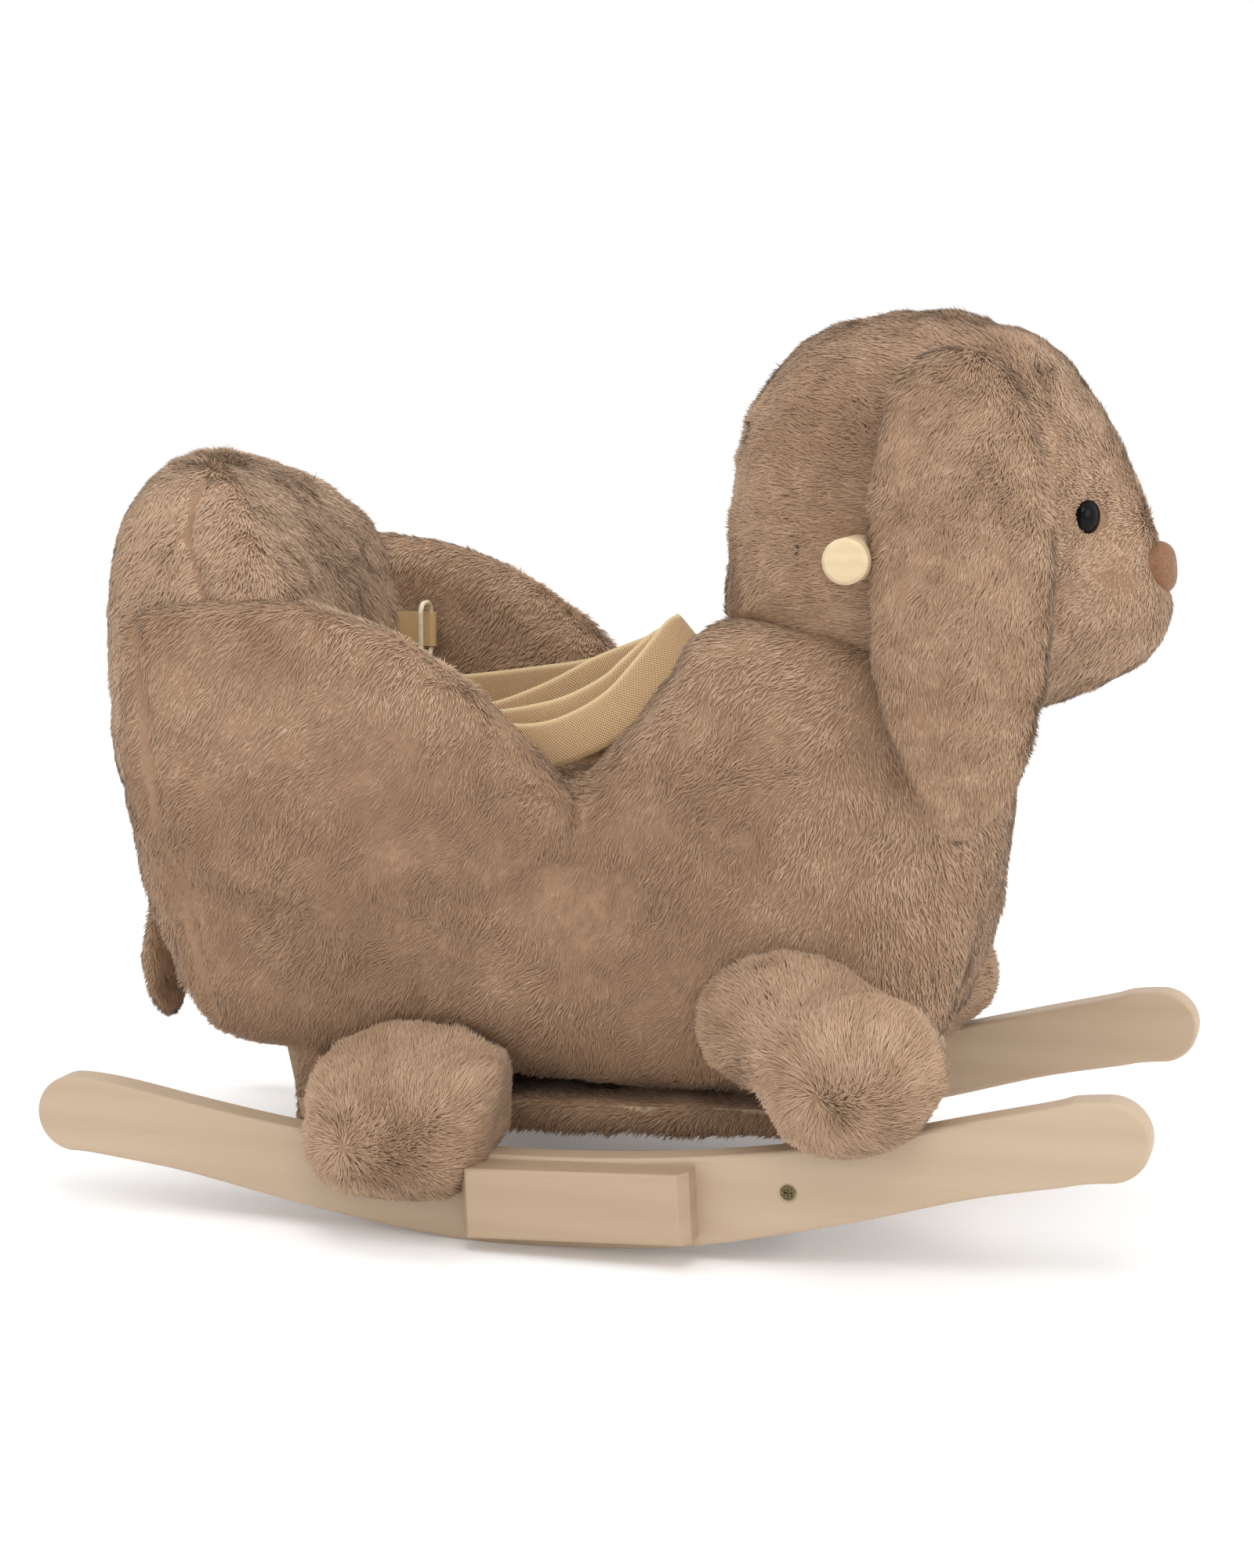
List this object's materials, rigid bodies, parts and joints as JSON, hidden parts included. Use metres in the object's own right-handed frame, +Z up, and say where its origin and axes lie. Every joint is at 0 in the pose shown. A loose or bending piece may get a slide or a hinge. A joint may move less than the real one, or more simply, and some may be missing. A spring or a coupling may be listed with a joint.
{
  "type": "plush rocking toy",
  "caption": "Stuffed dog on two curved wooden rockers, with a padded bucket seat in its back, a dowel handle through its head, side foot rests and a webbing belt.",
  "frame": {"origin": "middle of the whole toy's box in X and Y, on the floor that the rockers touch", "axes": "+X is the way the dog looks, +Y is its left, +Z is up; the toy rests with its nose 2.8 degrees up"},
  "size_m": [0.6492, 0.384, 0.519],
  "materials": {
    "plush": "matte",
    "pale_wood": "satin",
    "plywood": "matte",
    "screw_metal": "satin",
    "zinc_steel": "satin",
    "foam": "matte",
    "nose_brown": "matte",
    "eye_black": "gloss",
    "washer_plastic": "matte",
    "webbing": "satin",
    "ring_ivory": "satin"
  },
  "bodies": {
    "rocker": {"rocker_right": "pale_wood", "rocker_left": "pale_wood", "rear_rail": "pale_wood", "front_rail": "pale_wood", "foot_rest_right": "pale_wood", "foot_rest_left": "pale_wood", "base_board": "plywood", "back_board": "plywood", "neck_board": "plywood", "handle_dowel": "pale_wood", "rail_screws": "screw_metal", "rail_dowel_pins": "pale_wood", "foot_rest_screws": "screw_metal", "base_bolts": "zinc_steel", "base_t_nuts": "zinc_steel", "back_board_screws": "screw_metal", "neck_board_screws": "screw_metal", "handle_screw": "screw_metal", "torso": "plush", "seat_foam": "foam", "seat_cushion": "plush", "backrest": "plush", "backrest_foam": "foam", "bolster_right": "plush", "bolster_left": "plush", "head": "plush", "nose": "nose_brown", "eye_right": "eye_black", "eye_left": "eye_black", "eye_washers": "washer_plastic", "leg_rear_right": "plush", "leg_rear_left": "plush", "leg_front_right": "plush", "leg_front_left": "plush", "safety_belt": "webbing", "ring_tab": "webbing"},
    "ear_right": {"ear_right": "plush"},
    "ear_left": {"ear_left": "plush"},
    "tail": {"tail": "plush"},
    "ring": {"belt_ring": "ring_ivory"}
  },
  "joints": [
    {"name": "ear_right_lift", "type": "hinge", "parent": "rocker", "child": "ear_right", "pos_m": [0.21538, -0.075, 0.491], "axis": [-1, 0, 0], "range_deg": [0, 75]},
    {"name": "ear_left_lift", "type": "hinge", "parent": "rocker", "child": "ear_left", "pos_m": [0.21538, 0.075, 0.491], "axis": [1, 0, 0], "range_deg": [0, 75]},
    {"name": "tail_lift", "type": "hinge", "parent": "rocker", "child": "tail", "pos_m": [-0.30562, 0, 0.162], "axis": [0, 1, 0], "range_deg": [0, 70]},
    {"name": "ring_swing", "type": "hinge", "parent": "rocker", "child": "ring", "pos_m": [-0.15262, 0.06, 0.328], "axis": [0, 0, 1], "range_deg": [0, 100]}
  ]
}
